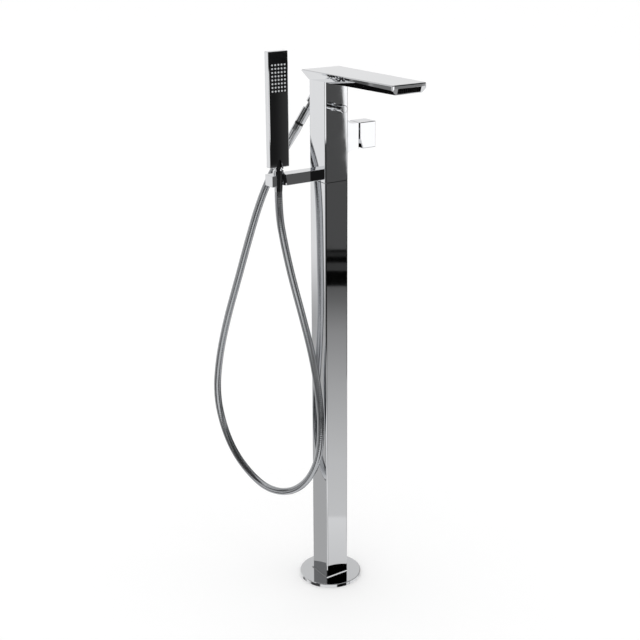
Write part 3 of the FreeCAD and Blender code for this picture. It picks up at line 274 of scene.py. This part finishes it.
FINISHES = {
    "chrome": polished_chrome_plate(),
    "hose_silver": silver_hose_cover(),
    # Satin black ABS of the spray plate and the flow grid: deep black, soft highlights.
    "black_plastic": moulded("satin_black_abs", "#0a0a0b", 0.28, 0.05, 0.7, 0.00001),
    # Silicone of the nozzles: pale grey, dull.
    "nozzle_rubber": moulded("pale_grey_silicone", "#c6c8ca", 0.45, 0.06, 0.5, 0.00001),
    # Nitrile seals: dull black.
    "seal_rubber": moulded("moulded_nitrile", "#161616", 0.55, 0.08, 0.4, 0.00001),
    # Acetal cartridge: off-white, waxy.
    "cartridge_plastic": moulded("white_acetal", "#dad9d2", 0.38, 0.05, 0.6, 0.00001),
    # Inlets as turned: yellow, with fine rings.
    "brass": machined("turned_brass", "#c9a765", "#a8874a", 0.28, 0.5),
    # Flange, screws and pins: grey stainless steel with fine marks.
    "steel": machined("stainless_steel", "#b8babc", "#9a9c9e", 0.3, 0.5),
    # Supply pipes as drawn: dull red-brown.
    "copper_pipe": machined("drawn_copper", "#b87a5a", "#8f5b41", 0.34, 0.8),
}
for part in frame["record"]["subparts"]:
    node = frame["nodes"][part["node"]]
    node.data.materials.clear()
    node.data.materials.append(FINISHES[part["material_slot"]])
hose.data.materials.clear()
hose.data.materials.append(FINISHES["hose_silver"])

# ---------------------------------------------------------------- floor and studio
# What the chrome shows is a white studio with dark flags in it.
# Azimuths run from the front (-Y) to the lever's side (+X), elevations up from
# the horizon, both in degrees; tones are what polished chrome shows of them.

bpy.ops.object.select_all(action="DESELECT")
bpy.ops.mesh.primitive_plane_add(size=FLOOR_SIZE, location=(0, 0, 0))
floor = bpy.context.object
floor.name = "studio_floor"
floor.visible_glossy = False
floor.data.materials.append(white_floor_paint())

# The backdrop: elevation and tone.
BACKDROP_TONES = [
    (-90, "#ececec"), (-40, "#e6e6e6"), (-30, "#d0d0d0"), (-18, "#d4d4d4"), (-6, "#dddddd"),
    (8, "#d6d6d6"), (20, "#cfcfcf"), (31, "#bebebe"), (60, "#cccccc"), (90, "#f0f0f0"),
]
# Patches over the backdrop: tone, azimuth from, to and edge, elevation from, to and edge.
PATCHES = [
    # Greys behind and beside the object.
    ("#a0a0a0", -154, -138, 4, -34, -17.5, 4),
    ("#6e6e6e", -152, -138, 3, 25, 40, 3),
    ("#5a5a5a", -124, -106, 6, -30, 40, 10),
    ("#343434", 104, 132, 6, -30, 40, 10),
    ("#3a3a3a", -114, -74, 6, -50, -22, 5),
    # The large dark flag on the camera's side, its two lower corners and a light gap in it.
    ("#191919", -86, 44, 6, -21, 75, 1.5),
    ("#191919", -90, -42, 8, -24.5, -17, 2),
    ("#191919", -2, 44, 6, -27, -16, 3),
    ("#f4f4f4", -66, 20, 4, -10.7, -7.4, 0.4),
    # Black over its right part and beyond, towards the lever's side.
    ("#000000", 20, 62, 4, -4, 50, 4),
    ("#000000", 56, 85, 4, 12, 62, 4),
    ("#000000", 80, 102, 3, 46, 62, 3),
    # A light and darks round the flag, for the small rounded pieces and edges.
    ("#ffffff", -62, -14, 6, -31, -23.6, 1.5),
    ("#0c0c0c", -9, 30, 3, -41, -28, 2),
    ("#101010", 38, 150, 6, -68, -50, 6),
    ("#202020", -134, -92, 6, 20, 40, 3),
    ("#050505", -162, -153, 2, -33, -27, 1),
    ("#101010", 85, 150, 6, -66, -40, 6),
    # A light square high up, black beside and under the white screen, a grey strip below.
    ("#d8d8d8", 39, 48, 1, 40, 48, 1),
    ("#0c0c0c", 61, 98, 1, -30, 15, 2),
    ("#0c0c0c", 43, 62, 2, -22, -12.2, 0.3),
    ("#8c8c8c", 43, 46.2, 0.5, -40, -31, 0.5),
    # Dark greys in the front of the body and the column, above the bands.
    ("#323232", 32.2, 34.4, 0.8, -15.87, -4, 0.5),
    ("#505050", 28.0, 34.2, 0.4, -15.87, -11.9, 0.3),
    ("#464646", 34.1, 38.0, 0.1, -15.87, -4, 0.1),
]
# The column's front below the bands grows lighter down to the foot, with one step:
# elevation and tone, then the azimuths and elevations that it fills, with their edges.
COLUMN_FADE = [
    (-31.2, "#c0c0c0"), (-28.65, "#cecece"), (-28.55, "#bebebe"), (-26, "#b8b8b8"),
    (-22.5, "#a0a0a0"), (-19.8, "#848484"), (-18.3, "#606060"), (-17.6, "#525252"),
]
FADE_SIDES = (33.5, 40, 0.3)
FADE_HEIGHTS = (-33, -17.55, 0.1)
# The bands across the column's front: tone, elevation from and to. Each reaches a
# little over the next.
COLUMN_BANDS = [
    ("#040404", -17.6, -16.86), ("#343434", -16.86, -16.47), ("#020202", -16.47, -16.18),
    ("#262626", -16.18, -15.97), ("#020202", -15.97, -15.87),
]
BAND_SIDES = (33.0, 60, 0.1)
BAND_OVERLAP = 0.03
BAND_EDGE = 0.05
# The spout's nose and its side: tone, azimuth from and to.
SPOUT_TONES = [
    ("#707070", 37.2, 39.0), ("#303030", 39.0, 42), ("#242424", -143.2, -141.9),
    ("#4a4a4a", -141.9, -141.0), ("#6c6c6c", -141.0, -138),
]
SPOUT_TONE_EDGE = 0.3
SPOUT_HEIGHTS = (-9.0, -5, 0.3)
# The white screen on the lever's side. Its sides lean by this azimuth for each degree
# of elevation, and are as written at the level.
SCREEN_SIDES = (35.17, 62, 0.06)
SCREEN_HEIGHTS = (-12.2, -4.6, 0.3)
SCREEN_LEAN = 0.06
SCREEN_LEVEL = -8.5


def tone_ramp(tree, angle, tones):
    """Tones that change evenly with an angle."""
    low, high = tones[0][0], tones[-1][0]
    share = add_node(tree, "ShaderNodeMapRange", inputs={"From Min": low, "From Max": high},
                     links={"Value": angle})
    ramp = add_node(tree, "ShaderNodeValToRGB", links={"Fac": share.outputs["Result"]})
    stops = ramp.color_ramp.elements
    for degrees, hex_colour in tones[1:-1]:
        stops.new((degrees - low) / (high - low)).color = linear(hex_colour)
    stops[0].color = linear(tones[0][1])
    stops[len(tones) - 1].color = linear(tones[-1][1])
    return ramp.outputs["Color"]


def soft_range(tree, angle, low, high, edge):
    """A mask that is 1 between two angles, with soft edges."""
    mask = None
    for centre, rising in ((low, 1.0), (high, 0.0)):
        side = add_node(tree, "ShaderNodeMapRange", {"interpolation_type": "SMOOTHSTEP"},
                        {"From Min": centre - edge / 2, "From Max": centre + edge / 2,
                         "To Min": 1 - rising, "To Max": rising}, {"Value": angle})
        if mask is None:
            mask = side.outputs["Result"]
        else:
            mask = add_node(tree, "ShaderNodeMath", {"operation": "MULTIPLY"},
                            links={0: mask, 1: side.outputs["Result"]}).outputs[0]
    return mask


def lay_patch(tree, below, tone, azimuth, elevation, sides, heights):
    """Lay a soft-edged patch over what is below it; a tone is a hex colour or an output."""
    across = soft_range(tree, azimuth, *sides)
    up = soft_range(tree, elevation, *heights)
    mask = add_node(tree, "ShaderNodeMath", {"operation": "MULTIPLY"}, links={0: across, 1: up})
    mix = add_node(tree, "ShaderNodeMix", {"data_type": "RGBA"},
                   links={0: mask.outputs[0], 6: below})
    if isinstance(tone, str):
        mix.inputs[7].default_value = linear(tone)
    else:
        tree.links.new(tone, mix.inputs[7])
    return mix.outputs[2]


def degrees_of(tree, operation, links, inputs=None):
    """An angle in degrees, from an arc function."""
    angle = add_node(tree, "ShaderNodeMath", {"operation": operation}, inputs, links)
    degrees = add_node(tree, "ShaderNodeMath", {"operation": "DEGREES"}, links={0: angle.outputs[0]})
    return degrees.outputs[0]


def studio_world():
    """The studio as the chrome shows it, and plain white for all else."""
    world = bpy.data.worlds.new("white_studio")
    world.use_nodes = True
    tree = world.node_tree
    background = tree.nodes["Background"]
    way = add_node(tree, "ShaderNodeTexCoord").outputs["Generated"]
    parts = add_node(tree, "ShaderNodeSeparateXYZ", links={0: way}).outputs
    forward = add_node(tree, "ShaderNodeMath", {"operation": "MULTIPLY"}, {1: -1.0}, {0: parts["Y"]})
    azimuth = degrees_of(tree, "ARCTAN2", {0: parts["X"], 1: forward.outputs[0]})
    elevation = degrees_of(tree, "ARCSINE", {0: parts["Z"]})
    shown = tone_ramp(tree, elevation, BACKDROP_TONES)
    for tone, left, right, side_edge, low, high, height_edge in PATCHES:
        shown = lay_patch(tree, shown, tone, azimuth, elevation,
                          (left, right, side_edge), (low, high, height_edge))
    fade = tone_ramp(tree, elevation, COLUMN_FADE)
    shown = lay_patch(tree, shown, fade, azimuth, elevation, FADE_SIDES, FADE_HEIGHTS)
    for tone, low, high in COLUMN_BANDS:
        shown = lay_patch(tree, shown, tone, azimuth, elevation, BAND_SIDES,
                          (low, high + BAND_OVERLAP, BAND_EDGE))

    lean = add_node(tree, "ShaderNodeMath", {"operation": "MULTIPLY_ADD"},
                    {1: SCREEN_LEAN, 2: -SCREEN_LEAN * SCREEN_LEVEL}, {0: elevation})
    leaning = add_node(tree, "ShaderNodeMath", {"operation": "ADD"},
                       links={0: azimuth, 1: lean.outputs[0]})
    shown = lay_patch(tree, shown, "#ffffff", leaning.outputs[0], elevation,
                      SCREEN_SIDES, SCREEN_HEIGHTS)
    for tone, left, right in SPOUT_TONES:
        shown = lay_patch(tree, shown, tone, azimuth, elevation,
                          (left, right, SPOUT_TONE_EDGE), SPOUT_HEIGHTS)

    # The camera and all matt surfaces meet plain white.
    rays = add_node(tree, "ShaderNodeLightPath").outputs
    seen = add_node(tree, "ShaderNodeMix", {"data_type": "RGBA"}, {6: (1.0, 1.0, 1.0, 1.0)},
                    {0: rays["Is Glossy Ray"], 7: shown})
    strength = add_node(tree, "ShaderNodeMapRange",
                        inputs={"To Min": 1.0, "To Max": 1 / CHROME_REFLECTANCE},
                        links={"Value": rays["Is Glossy Ray"]})
    tree.links.new(seen.outputs[2], background.inputs["Color"])
    tree.links.new(strength.outputs["Result"], background.inputs["Strength"])
    return world


bpy.context.scene.world = studio_world()
bpy.context.scene.view_settings.view_transform = "Standard"
